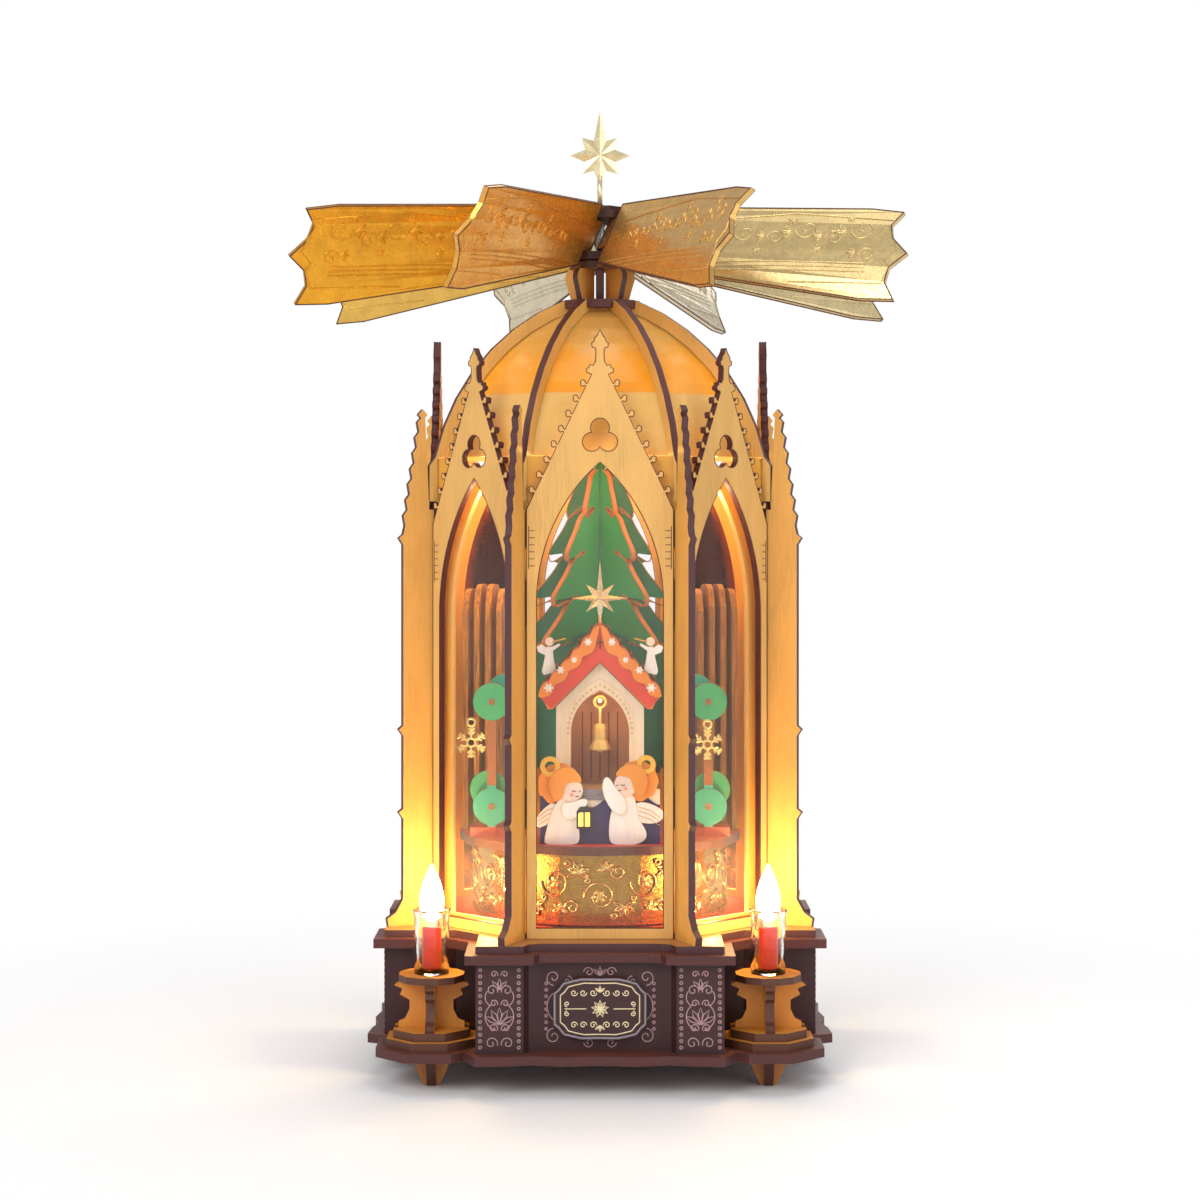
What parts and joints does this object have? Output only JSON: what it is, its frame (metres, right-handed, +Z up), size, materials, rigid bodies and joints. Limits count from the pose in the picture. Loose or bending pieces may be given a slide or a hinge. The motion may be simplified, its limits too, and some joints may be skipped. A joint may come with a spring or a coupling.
{
  "type": "christmas pyramid",
  "caption": "Wooden Christmas pyramid: gothic tower with a ribbed dome, a turning carousel scene inside and a crown of tilted vanes above.",
  "frame": {"origin": "middle of the footprint, on the surface that the four feet stand on", "axes": "+Z up along the turning shaft, -Y towards the front window, +X to the viewer's right"},
  "size_m": [0.2084, 0.2084, 0.3286],
  "materials": {
    "dark_wood": "stained burgundy brown plywood, satin",
    "brown_wood": "stained dark brown plywood, satin",
    "tan_wood": "printed tan plywood with dark laser cut edges",
    "gold_wood": "printed pale gold plywood with dark laser cut edges",
    "red_wood": "printed red plywood",
    "green_wood": "printed green plywood",
    "ivory_wood": "printed ivory plywood",
    "gold_foil": "plywood faced with embossed gold foil",
    "brass": "polished gold plate",
    "steel": "plain steel",
    "black_plastic": "matte black",
    "clear_film": "clear glossy window sheet",
    "amber_film": "translucent amber sheet",
    "dark_pane": "dark mirrored sheet",
    "candle": "clear sleeve round a red stick with a lit white bulb"
  },
  "bodies": {
    "base": {"bottom_plate": "brown_wood", "foot_front_right": "tan_wood", "foot_back_right": "tan_wood", "foot_back_left": "tan_wood", "foot_front_left": "tan_wood", "base_housing": "dark_wood", "plaque": "dark_wood", "cornice_plate": "brown_wood", "candle_stand_front_right": "tan_wood", "candle_stand_back_right": "tan_wood", "candle_stand_back_left": "tan_wood", "candle_stand_front_left": "tan_wood", "candle_front_right": "candle", "candle_back_right": "candle", "candle_back_left": "candle", "candle_front_left": "candle", "tower_frame": "tan_wood", "tower_floor": "tan_wood", "wall_front": "gold_wood", "wall_right": "gold_wood", "wall_back": "gold_wood", "wall_left": "gold_wood", "wall_front_right": "gold_wood", "wall_back_right": "gold_wood", "wall_back_left": "gold_wood", "wall_front_left": "gold_wood", "window_film": "clear_film", "mirror_back_right": "dark_pane", "mirror_back_left": "dark_pane", "dome_frame": "tan_wood", "dome_film": "amber_film", "neck_crown": "tan_wood", "music_movement": "steel", "battery_box": "black_plastic"},
    "rotor": {"shaft": "steel", "main_gear": "tan_wood", "drum": "gold_foil", "carousel_disc": "red_wood", "tree": "green_wood", "chapel": "ivory_wood", "chapel_roof": "red_wood", "angel_with_lantern": "ivory_wood", "angel_waving": "ivory_wood", "garden_right": "green_wood", "garden_left": "green_wood", "hub_lower": "brown_wood", "hub_upper": "brown_wood", "vane_1": "gold_foil", "vane_2": "gold_foil", "vane_3": "gold_foil", "vane_4": "gold_foil", "vane_5": "gold_foil", "vane_6": "gold_foil", "vane_7": "gold_foil", "vane_8": "gold_foil", "star": "brass"},
    "winder": {"winding_key": "steel", "drive_pinion": "tan_wood"},
    "bell": {"bell": "brass"},
    "switch": {"light_switch": "black_plastic"}
  },
  "joints": [
    {"name": "rotor_spin", "type": "hinge", "parent": "base", "child": "rotor", "pos_m": [0, 0, 0.1], "axis": [0, 0, 1], "continuous": true},
    {"name": "winder_turn", "type": "hinge", "parent": "base", "child": "winder", "pos_m": [0, 0.03018, 0.02], "axis": [0, 0, 1], "continuous": true},
    {"name": "bell_swing", "type": "hinge", "parent": "rotor", "child": "bell", "pos_m": [0, -0.0249, 0.1237], "axis": [0, 1, 0], "range_deg": [-18, 18]},
    {"name": "switch_slide", "type": "slide", "parent": "base", "child": "switch", "axis": [-1, 0, 0], "range_m": [0, 0.003]}
  ],
  "couplings": [
    {"joint": "winder_turn", "follows": "rotor_spin", "ratio": -3}
  ]
}
